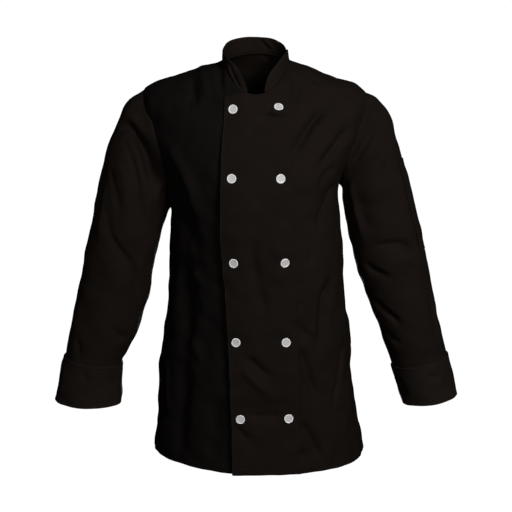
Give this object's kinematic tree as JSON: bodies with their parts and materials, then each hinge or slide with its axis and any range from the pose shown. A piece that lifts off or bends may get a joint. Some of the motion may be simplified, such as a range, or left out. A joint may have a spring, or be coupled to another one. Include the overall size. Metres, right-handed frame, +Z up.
{
  "type": "chef jacket",
  "caption": "Long-sleeved double-breasted chef jacket with a stand collar, turned-back cuffs and press studs, filled out as worn and open at neck, cuffs and hem.",
  "frame": {"origin": "middle of the neck opening, at the height of the shoulder seams' neck ends, where the wearer's neck and shoulders hold the jacket", "axes": "+Z up along the wearer's spine, -Y out of the front, +X towards the wearer's left"},
  "size_m": [0.7282, 0.2896, 0.7532],
  "materials": {
    "black_twill": "matt woven polyester-cotton twill, black with a slight warm cast",
    "grey_stud": "light grey moulded press stud with a paler raised rim"
  },
  "bodies": {
    "root": {"back": "black_twill", "right_front": "black_twill", "left_front": "black_twill", "collar": "black_twill", "right_sleeve": "black_twill", "left_sleeve": "black_twill", "right_cuff": "black_twill", "left_cuff": "black_twill", "sleeve_pocket": "black_twill", "stud_right_1": "grey_stud", "stud_right_2": "grey_stud", "stud_right_3": "grey_stud", "stud_right_4": "grey_stud", "stud_right_5": "grey_stud", "stud_left_1": "grey_stud", "stud_left_2": "grey_stud", "stud_left_3": "grey_stud", "stud_left_4": "grey_stud", "stud_left_5": "grey_stud"}
  },
  "joints": []
}
